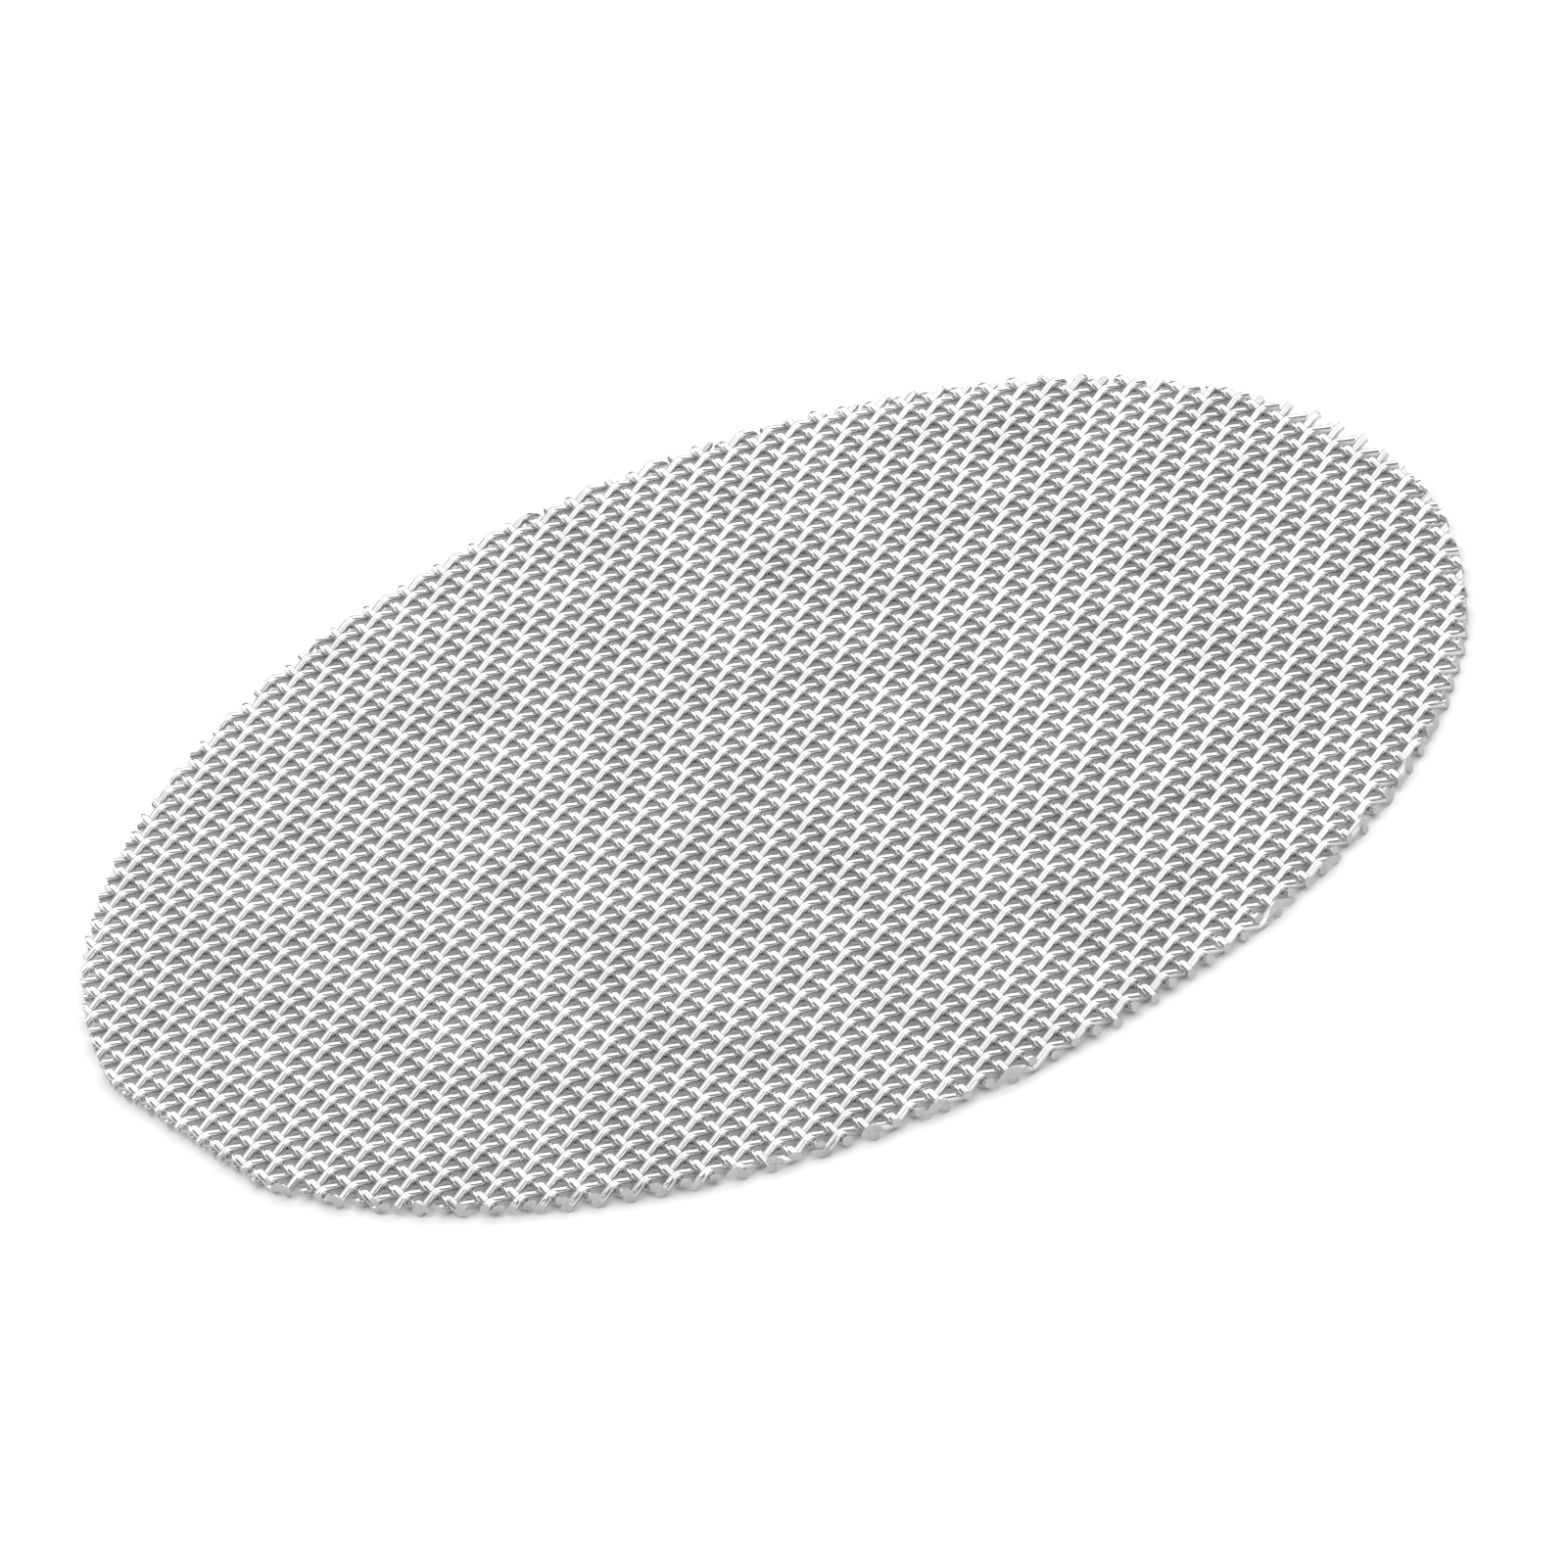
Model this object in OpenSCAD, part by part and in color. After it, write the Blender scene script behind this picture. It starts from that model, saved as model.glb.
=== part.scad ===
/* [Disc] */

// outside diameter of the disc, cut through the wires
disc_d = 58.5; // [40:0.5:70]

/* [Wire cloth] */

// distance between neighbouring wires, middle to middle, the same both ways
pitch = 0.91; // [0.8:0.01:1.4]
// diameter of the wire
wire_d = 0.38; // [0.28:0.01:0.5]
// depth by which rolling flattens the crowns of the wires on each face
crown_flat = 0.02; // [0.01:0.01:0.04]
// thickness of the wall where the two sets of wires pass each other, as a part of the wire's diameter
wall_part = 0.5; // [0.35:0.05:0.65]
// number of flats that stand for the round of the wire
wire_flats = 12; // [8:4:12]

/* [Openings] */

// number of pitches from one row of openings to the next
open_every = 5; // [5:2:9]
// number of wires side by side between two rows of openings
wires_between = 3; // [1:2:3]
// least width of the wall left between an opening and the rim
open_margin = 0.6; // [0.4:0.2:3]

/* [Hidden] */

rim_r = disc_d / 2;
wire_r = wire_d / 2;
// half of the thickness over the flattened crowns
half_t = wire_d - crown_flat;
wall_t = wall_part * wire_d;
// the outermost wires stay half a wire inside the rim
wires_half = floor((rim_r - wire_d) / pitch + 0.5);
// openings reach from wire to wire across the pitches that no wire is drawn in
open_w = (open_every - wires_between + 1) * pitch - wire_d;
open_step = open_every * pitch;
open_reach = rim_r - open_margin - open_w * sqrt(2) / 2;
open_half = floor(open_reach / open_step);
// blanks run this far past the rim that trims them
over = 1;
blank_w = disc_d + 2 * over;
steel = "#b4b7ba";
$fn = 64;

// How far a wire, counted from the middle, lies from the middle of its band, in pitches.
function off_band(k) = abs((k + 0.5 + 100 * open_every) % open_every - open_every / 2);

// Section across one set of wires: half of the wall, and the bands of wires that ride on it with flattened crowns.
module wire_row_section() {
    intersection() {
        union() {
            translate([-blank_w / 2, 0])
                square([blank_w, wall_t / 2]);
            for (k = [-wires_half : wires_half - 1])
                if (off_band(k) < wires_between / 2)
                    translate([(k + 0.5) * pitch, wire_r])
                        rotate(180 / wire_flats)
                            circle(r = wire_r, $fn = wire_flats);
        }
        translate([-blank_w / 2, 0])
            square([blank_w, half_t]);
    }
}

// One set of wires along X, standing up from the middle plane of the cloth and not yet trimmed to the rim.
module wire_row() {
    rotate([90, 0, 90])
        linear_extrude(height = blank_w, center = true)
            wire_row_section();
}

// Square openings through the wall between the bands of both sets.
module openings() {
    for (a = [-open_half : open_half])
        for (b = [-open_half : open_half])
            if (norm([a, b]) * open_step <= open_reach)
                translate([a * open_step, b * open_step, 0])
                    cube([open_w, open_w, wall_t + crown_flat], center = true);
}

// Disc of square woven wire cloth that lies on the crowns of its lower wires.
module mesh_disc() {
    color(steel)
        translate([0, 0, half_t])
            difference() {
                intersection() {
                    union() {
                        wire_row();
                        rotate([180, 0, 90])
                            wire_row();
                    }
                    cylinder(r = rim_r, h = 2 * half_t + 2 * over, center = true);
                }
                openings();
            }
}

mesh_disc();
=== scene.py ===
"""Looks of the wire mesh filter disc: a bare round of plain woven stainless wire cloth on a pale floor."""
import math
import random

import bpy
from mathutils import Matrix, Vector


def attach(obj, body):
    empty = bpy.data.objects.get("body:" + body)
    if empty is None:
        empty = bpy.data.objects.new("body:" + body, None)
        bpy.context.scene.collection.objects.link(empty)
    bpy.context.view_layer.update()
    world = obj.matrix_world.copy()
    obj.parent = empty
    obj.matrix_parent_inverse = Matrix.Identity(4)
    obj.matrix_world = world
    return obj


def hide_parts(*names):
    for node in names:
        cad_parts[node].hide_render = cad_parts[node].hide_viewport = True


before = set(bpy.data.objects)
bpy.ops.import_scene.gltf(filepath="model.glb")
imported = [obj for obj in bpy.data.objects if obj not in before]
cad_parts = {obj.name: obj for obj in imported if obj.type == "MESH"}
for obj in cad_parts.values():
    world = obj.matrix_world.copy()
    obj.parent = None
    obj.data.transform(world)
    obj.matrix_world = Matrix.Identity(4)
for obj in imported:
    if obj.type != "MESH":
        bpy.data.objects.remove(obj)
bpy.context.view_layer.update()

# Sizes of the cloth in millimetres. It is woven at this size and brought to metres when it is done.
MM = 0.001
PITCH = 0.91
WIRE_R = 0.19
HALF_T = 0.36
# How far the middle of a wire swings above and below the middle of the cloth.
CRIMP = HALF_T - WIRE_R
# A bend lies close round the wire that it crosses.
BEND_R = 2 * WIRE_R
# Slope and length of the straight flank between a bend under one crossing wire and the bend over the next.
DROP = 2 * (BEND_R - CRIMP)
SPAN = math.hypot(PITCH, DROP)
SLOPE = math.asin(2 * BEND_R / SPAN) - math.atan2(DROP, PITCH)
FLANK = math.sqrt(SPAN ** 2 - (2 * BEND_R) ** 2)
# Flats round a wire, and steps along each bend.
SIDES = 12
BEND_STEPS = 4
# Rounds of one bend over and one under in the long wire, which reaches past the rim at both ends.
ROUNDS = 34

# The rim in millimetres. On the -X side the shears went further in, to just past the last weft wire.
RIM_R = 29.25
SHORT_SIDE = 28.66
# The most by which the shears leave a wire short of the rim, and the seed of the chance that says how much.
UNEVEN = 0.12
SHEAR_SEED = 11
# Points of the wire closer than the first are merged, and closer than the second to a cut count as on it.
MERGE_GAP = 0.002
CUT_GAP = 0.00001

# How far the mesh lies off the disc's middle, in pitches.
MESH_X = -0.54
MESH_Y = 0.17
# Rows of wires, counted from the middle: the first, the bound of the middle third and one past the last.
FIRST_ROW = -32
MIDDLE_ROW = 9
WARP_STOP = 32
WEFT_STOP = 31

# Grain of the drawn steel along a wire and across it, in waves to the metre.
GRAIN_ALONG = 400
GRAIN_ACROSS = 30000
# Faces of the wire that meet at less than this, in degrees, shade as one round.
ROUND_ANGLE = 50

# The studio in metres. The floor lies a hair below the disc, and every lamp is equally far from the disc.
FLOOR_SIZE = 6
FLOOR_Z = -0.00002
LAMP_DISTANCE = 1.0
# Compass of the camera's side of the disc, in degrees from +X.
CAMERA_COMPASS = -112.06
CAMERA_PLACE = (-0.15112, -0.37295, 0.22144)
CAMERA_RIGHT = Vector((0.80469, -0.50897, -0.30567))
CAMERA_UP = Vector((0.49356, 0.28733, 0.82088))
CAMERA_BACK = Vector((-0.32997, -0.81141, 0.48242))


def only(piece):
    """Makes one piece the selected and active one."""
    bpy.ops.object.select_all(action="DESELECT")
    piece.select_set(True)
    bpy.context.view_layer.objects.active = piece


def weave_wire():
    """One long wire along X, bent over and under its crossing wires, that every other wire is copied from."""
    bpy.ops.object.select_all(action="DESELECT")
    # The first ring stands where the flank leaves the bend under at X = 0.
    foot = (BEND_R * math.sin(SLOPE), 0, BEND_R * (1 - math.cos(SLOPE)) - CRIMP)
    bpy.ops.mesh.primitive_circle_add(vertices=SIDES, radius=WIRE_R, fill_type="NOTHING", location=foot,
                                      rotation=(0, math.pi / 2 - SLOPE, 0))
    wire = bpy.context.active_object
    wire.name = "wire"
    bpy.ops.object.transform_apply(location=True, rotation=True, scale=True)
    bpy.ops.object.mode_set(mode="EDIT")
    bpy.ops.mesh.select_all(action="SELECT")
    run, rise = FLANK * math.cos(SLOPE), FLANK * math.sin(SLOPE)
    bpy.ops.mesh.extrude_region_move(TRANSFORM_OT_translate={"value": (run, 0, rise)})
    bpy.ops.mesh.spin(steps=BEND_STEPS, angle=-2 * SLOPE, center=(PITCH, 0, CRIMP - BEND_R), axis=(0, 1, 0))
    bpy.ops.mesh.extrude_region_move(TRANSFORM_OT_translate={"value": (run, 0, -rise)})
    bpy.ops.mesh.spin(steps=BEND_STEPS, angle=2 * SLOPE, center=(2 * PITCH, 0, BEND_R - CRIMP),
                      axis=(0, 1, 0))
    bpy.ops.object.mode_set(mode="OBJECT")
    repeat = wire.modifiers.new("rounds", "ARRAY")
    repeat.count = ROUNDS
    repeat.use_relative_offset = False
    repeat.use_constant_offset = True
    repeat.constant_offset_displace = (2 * PITCH, 0, 0)
    repeat.use_merge_vertices = True
    repeat.merge_threshold = MERGE_GAP
    bpy.ops.object.modifier_apply(modifier=repeat.name)
    bpy.ops.object.mode_set(mode="EDIT")
    bpy.ops.mesh.select_all(action="SELECT")
    bpy.ops.mesh.normals_make_consistent(inside=False)
    # An even number of pitches to the left, so that a bend under stays at X = 0.
    bpy.ops.transform.translate(value=(-2 * PITCH * (ROUNDS // 2), 0, 0))
    bpy.ops.object.mode_set(mode="OBJECT")
    return wire


def lay_wire(pattern, row, along, across, low_end, chance):
    """A copy of the wire in one row of the cloth, cut off along the rim at both ends.

    Along and across place the mesh, in pitches. The end on the -X side goes no further than low_end.
    """
    only(pattern)
    bpy.ops.object.duplicate()
    wire = bpy.context.active_object
    y = (row + 0.5 + across) * PITCH
    reach = math.sqrt(RIM_R ** 2 - y ** 2)
    # Every other row goes over where its neighbours go under.
    shift = ((-0.5 if row % 2 else 0.5) + along) * PITCH
    bpy.ops.object.mode_set(mode="EDIT")
    bpy.ops.mesh.select_all(action="SELECT")
    bpy.ops.transform.translate(value=(shift, y, 0))
    for side in (-1, 1):
        end = (min(reach, low_end) if side < 0 else reach) - chance.uniform(0, UNEVEN)
        bpy.ops.mesh.select_all(action="SELECT")
        bpy.ops.mesh.bisect(plane_co=(side * end, y, 0), plane_no=(side * reach / RIM_R, y / RIM_R, 0),
                            use_fill=True, clear_outer=True, threshold=CUT_GAP)
    bpy.ops.object.mode_set(mode="OBJECT")
    return wire


def weave_part(pattern, rows, along, across, low_end, name, chance):
    """The wires of some rows along X, joined to one piece."""
    wires = [lay_wire(pattern, row, along, across, low_end, chance) for row in rows]
    only(wires[0])
    for wire in wires:
        wire.select_set(True)
    bpy.ops.object.join()
    piece = bpy.context.active_object
    piece.name = name
    return piece


def finish_piece(piece, turn, wire_metal, end_metal):
    """Turns a piece to its set of wires, brings it to metres on the floor and gives it its metals."""
    only(piece)
    piece.rotation_euler = (0, 0, turn)
    piece.location = (0, 0, HALF_T * MM)
    piece.scale = (MM, MM, MM)
    bpy.ops.object.transform_apply(location=True, rotation=True, scale=True)
    bpy.ops.object.shade_smooth_by_angle(angle=math.radians(ROUND_ANGLE))
    piece.data.materials.append(wire_metal)
    piece.data.materials.append(end_metal)
    # The sheared ends have more than four corners.
    bpy.ops.object.mode_set(mode="EDIT")
    bpy.ops.mesh.select_mode(type="FACE")
    bpy.ops.mesh.select_face_by_sides(number=4, type="GREATER", extend=False)
    piece.active_material_index = 1
    bpy.ops.object.material_slot_assign()
    bpy.ops.mesh.select_all(action="DESELECT")
    bpy.ops.object.mode_set(mode="OBJECT")
    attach(piece, "root")
    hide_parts("mesh_disc")


def new_material(name):
    """An empty node material with its output."""
    material = bpy.data.materials.new(name)
    material.use_nodes = True
    material.node_tree.nodes.clear()
    out = material.node_tree.nodes.new("ShaderNodeOutputMaterial")
    return material, material.node_tree.nodes, material.node_tree.links, out


def drawn_steel(name, grain):
    """Bright drawn stainless steel whose fine lines run along the wire."""
    material, nodes, links, out = new_material(name)
    metal = nodes.new("ShaderNodeBsdfPrincipled")
    metal.inputs["Metallic"].default_value = 1.0
    place = nodes.new("ShaderNodeTexCoord")
    # Grey tone that changes from patch to patch of the cloth.
    patch = nodes.new("ShaderNodeTexNoise")
    patch.inputs["Scale"].default_value = 260.0
    patch.inputs["Detail"].default_value = 3.0
    links.new(place.outputs["Object"], patch.inputs["Vector"])
    tone = nodes.new("ShaderNodeValToRGB")
    tone.color_ramp.elements[0].position = 0.3
    tone.color_ramp.elements[0].color = (0.60, 0.605, 0.61, 1)
    tone.color_ramp.elements[1].position = 0.7
    tone.color_ramp.elements[1].color = (0.74, 0.74, 0.735, 1)
    links.new(patch.outputs["Fac"], tone.inputs["Fac"])
    links.new(tone.outputs["Color"], metal.inputs["Base Color"])
    # Gloss that changes from line to line of the grain.
    lines = nodes.new("ShaderNodeMapping")
    lines.inputs["Scale"].default_value = grain
    links.new(place.outputs["Object"], lines.inputs["Vector"])
    streak = nodes.new("ShaderNodeTexNoise")
    streak.inputs["Scale"].default_value = 1.0
    streak.inputs["Detail"].default_value = 2.0
    links.new(lines.outputs["Vector"], streak.inputs["Vector"])
    gloss = nodes.new("ShaderNodeMapRange")
    gloss.inputs["From Min"].default_value = 0.3
    gloss.inputs["From Max"].default_value = 0.7
    gloss.inputs["To Min"].default_value = 0.07
    gloss.inputs["To Max"].default_value = 0.13
    links.new(streak.outputs["Fac"], gloss.inputs["Value"])
    links.new(gloss.outputs["Result"], metal.inputs["Roughness"])
    links.new(metal.outputs["BSDF"], out.inputs["Surface"])
    return material


def cut_steel():
    """Duller, rougher steel on the sheared ends of the wires."""
    material, nodes, links, out = new_material("cut end")
    metal = nodes.new("ShaderNodeBsdfPrincipled")
    metal.inputs["Metallic"].default_value = 1.0
    metal.inputs["Roughness"].default_value = 0.42
    place = nodes.new("ShaderNodeTexCoord")
    tear = nodes.new("ShaderNodeTexNoise")
    tear.inputs["Scale"].default_value = 9000.0
    links.new(place.outputs["Object"], tear.inputs["Vector"])
    tone = nodes.new("ShaderNodeValToRGB")
    tone.color_ramp.elements[0].color = (0.40, 0.40, 0.40, 1)
    tone.color_ramp.elements[1].color = (0.62, 0.62, 0.615, 1)
    links.new(tear.outputs["Fac"], tone.inputs["Fac"])
    links.new(tone.outputs["Color"], metal.inputs["Base Color"])
    links.new(metal.outputs["BSDF"], out.inputs["Surface"])
    return material


def pale_floor():
    """Matt white floor that is the picture's white background and keeps the disc's soft shadow."""
    material, nodes, links, out = new_material("pale floor")
    matt = nodes.new("ShaderNodeBsdfDiffuse")
    matt.inputs["Color"].default_value = (0.9, 0.9, 0.9, 1)
    links.new(matt.outputs["BSDF"], out.inputs["Surface"])
    return material


def softbox(name, compass, height, width, tall, brightness):
    """A rectangular studio lamp that faces the disc.

    Compass is degrees round from the camera's side, and height is degrees up from the floor.
    """
    bpy.ops.object.select_all(action="DESELECT")
    bpy.ops.object.light_add(type="AREA")
    lamp = bpy.context.active_object
    lamp.name = name
    lamp.data.shape = "RECTANGLE"
    lamp.data.size = width
    lamp.data.size_y = tall
    lamp.data.energy = math.pi * width * tall * brightness
    around, up = math.radians(CAMERA_COMPASS + compass), math.radians(height)
    toward = Vector((math.cos(around) * math.cos(up), math.sin(around) * math.cos(up), math.sin(up)))
    lamp.location = toward * LAMP_DISTANCE
    lamp.rotation_euler = toward.to_track_quat("Z", "Y").to_euler()


# The cloth: one wire is modelled and copied to every row of both sets.
chance = random.Random(SHEAR_SEED)
pattern = weave_wire()
warp_metal = drawn_steel("drawn steel, warp", (GRAIN_ALONG, GRAIN_ACROSS, GRAIN_ACROSS))
weft_metal = drawn_steel("drawn steel, weft", (GRAIN_ACROSS, GRAIN_ALONG, GRAIN_ACROSS))
end_metal = cut_steel()
for name, turn, stop, along, across, low_end, metal in (
        ("warp", 0, WARP_STOP, MESH_X, MESH_Y, SHORT_SIDE, warp_metal),
        ("weft", math.pi / 2, WEFT_STOP, MESH_Y, -MESH_X, RIM_R, weft_metal)):
    for third, rows in (("near", range(FIRST_ROW, -MIDDLE_ROW)),
                        ("middle", range(-MIDDLE_ROW, MIDDLE_ROW)),
                        ("far", range(MIDDLE_ROW, stop))):
        piece = weave_part(pattern, rows, along, across, low_end, f"{name}_{third}", chance)
        finish_piece(piece, turn, metal, end_metal)
bpy.data.objects.remove(pattern)

# The studio: pale floor, soft lamps and the photograph's point of view.
bpy.ops.object.select_all(action="DESELECT")
bpy.ops.mesh.primitive_plane_add(size=FLOOR_SIZE, location=(0, 0, FLOOR_Z))
floor = bpy.context.active_object
floor.name = "floor"
floor.data.materials.append(pale_floor())

softbox("top softbox", compass=0, height=90, width=1.5, tall=1.5, brightness=1.1)
softbox("back right softbox", compass=127.5, height=34, width=1.17, tall=0.65, brightness=1.55)
softbox("left strip", compass=-127.5, height=8, width=0.82, tall=0.28, brightness=2.4)
softbox("left softbox", compass=-127.5, height=34, width=0.67, tall=0.65, brightness=1.0)
softbox("front right softbox", compass=37.5, height=26, width=0.73, tall=0.975, brightness=1.2)
softbox("front left softbox", compass=-37.5, height=19, width=0.776, tall=0.689, brightness=1.0)
softbox("back strip", compass=187.5, height=45, width=0.562, tall=0.2456, brightness=2.5)

world = bpy.data.worlds.new("studio")
bpy.context.scene.world = world
world.use_nodes = True
room = world.node_tree.nodes["Background"]
room.inputs["Color"].default_value = (1, 1, 1, 1)
room.inputs["Strength"].default_value = 0.33

bpy.ops.object.select_all(action="DESELECT")
bpy.ops.object.camera_add(location=CAMERA_PLACE)
camera = bpy.context.active_object
camera.rotation_euler = Matrix((CAMERA_RIGHT, CAMERA_UP, CAMERA_BACK)).transposed().to_euler()
camera.data.sensor_width = 36
camera.data.lens = 261.6
camera.data.clip_start = 0.01
camera.data.clip_end = 20
bpy.context.scene.camera = camera
bpy.context.scene.view_settings.view_transform = "Standard"
